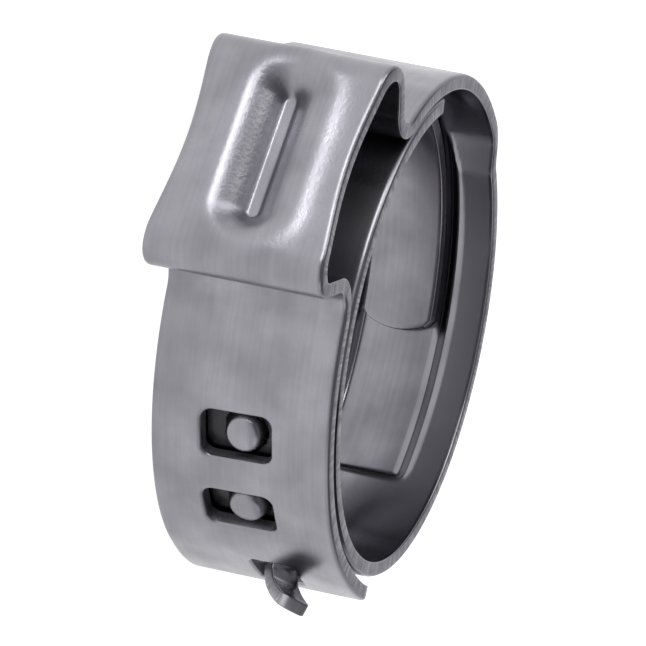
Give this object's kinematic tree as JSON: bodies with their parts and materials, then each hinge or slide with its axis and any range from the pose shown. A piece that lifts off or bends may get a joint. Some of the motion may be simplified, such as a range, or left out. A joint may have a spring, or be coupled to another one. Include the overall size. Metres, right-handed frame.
{
  "type": "hose clamp",
  "caption": "Ear clamp of stainless strip rolled twice round a bore, with a dimpled pinch ear, an inner tongue sliding in a channel, and a button-and-hook latch.",
  "frame": {"origin": "on the bore's axis, half way across the band", "axes": "+Z along the bore, +Y from the bore to the middle of the ear, +X towards the ear's leg on the plain side of the ring"},
  "size_m": [0.0212, 0.0235, 0.007],
  "materials": {
    "stainless_strip": "satin, cold-rolled, with bright rolled-over edges"
  },
  "bodies": {
    "ring": {"channel_band": "stainless_strip", "outer_arc": "stainless_strip"},
    "lower_back": {"lower_arc_back": "stainless_strip"},
    "lower_front": {"lower_arc_front": "stainless_strip"},
    "latch": {"latch_band": "stainless_strip"},
    "tongue": {"tongue": "stainless_strip"},
    "bridge": {"bridge": "stainless_strip"},
    "leg_a": {"ear_leg_a": "stainless_strip"},
    "crown": {"ear_crown": "stainless_strip"},
    "leg_b": {"ear_leg_b": "stainless_strip"},
    "strap": {"strap": "stainless_strip"}
  },
  "joints": [
    {"name": "ear_pinch", "type": "hinge", "parent": "ring", "child": "leg_a", "pos_m": [0.00394, 0.00965, 0], "axis": [0, 0, -1], "range_deg": [0, 50]},
    {"name": "crown_fold_a", "type": "hinge", "parent": "leg_a", "child": "crown", "pos_m": [0.00305, 0.01294, 0], "axis": [0, 0, 1], "range_deg": [0, 55.5]},
    {"name": "crown_fold_b", "type": "hinge", "parent": "crown", "child": "leg_b", "pos_m": [-0.00305, 0.01294, 0], "axis": [0, 0, 1], "range_deg": [0, 29.4]},
    {"name": "foot_fold_b", "type": "hinge", "parent": "leg_b", "child": "strap", "pos_m": [-0.00371, 0.00975, 0], "axis": [0, 0, -1], "range_deg": [0, 51.9]},
    {"name": "lower_back_bend", "type": "hinge", "parent": "ring", "child": "lower_back", "pos_m": [-0.0027, -0.00832, 0], "axis": [0, 0, -1], "range_deg": [0, 10]},
    {"name": "lower_middle_bend", "type": "hinge", "parent": "lower_back", "child": "lower_front", "pos_m": [-0.00619, -0.00619, 0], "axis": [0, 0, -1], "range_deg": [0, 5]},
    {"name": "lower_front_bend", "type": "hinge", "parent": "lower_front", "child": "latch", "pos_m": [-0.00832, -0.0027, 0], "axis": [0, 0, -1], "range_deg": [0, 2]},
    {"name": "tongue_slide", "type": "hinge", "parent": "ring", "child": "tongue", "pos_m": [0, 0, 0], "axis": [0, 0, -1], "range_deg": [0, 36.2]},
    {"name": "bridge_bend", "type": "hinge", "parent": "tongue", "child": "bridge", "pos_m": [0.00438, 0.00758, 0], "axis": [0, 0, 1], "range_deg": [0, 14.2]}
  ],
  "couplings": [
    {"joint": "crown_fold_a", "follows": "ear_pinch", "ratio": 1.1093},
    {"joint": "crown_fold_b", "follows": "ear_pinch", "ratio": 0.5872},
    {"joint": "foot_fold_b", "follows": "ear_pinch", "ratio": 1.0361},
    {"joint": "lower_back_bend", "follows": "ear_pinch", "ratio": 0.1998},
    {"joint": "lower_middle_bend", "follows": "ear_pinch", "ratio": 0.0999},
    {"joint": "lower_front_bend", "follows": "ear_pinch", "ratio": 0.04},
    {"joint": "tongue_slide", "follows": "ear_pinch", "ratio": 0.7237},
    {"joint": "bridge_bend", "follows": "ear_pinch", "ratio": 0.2828}
  ]
}
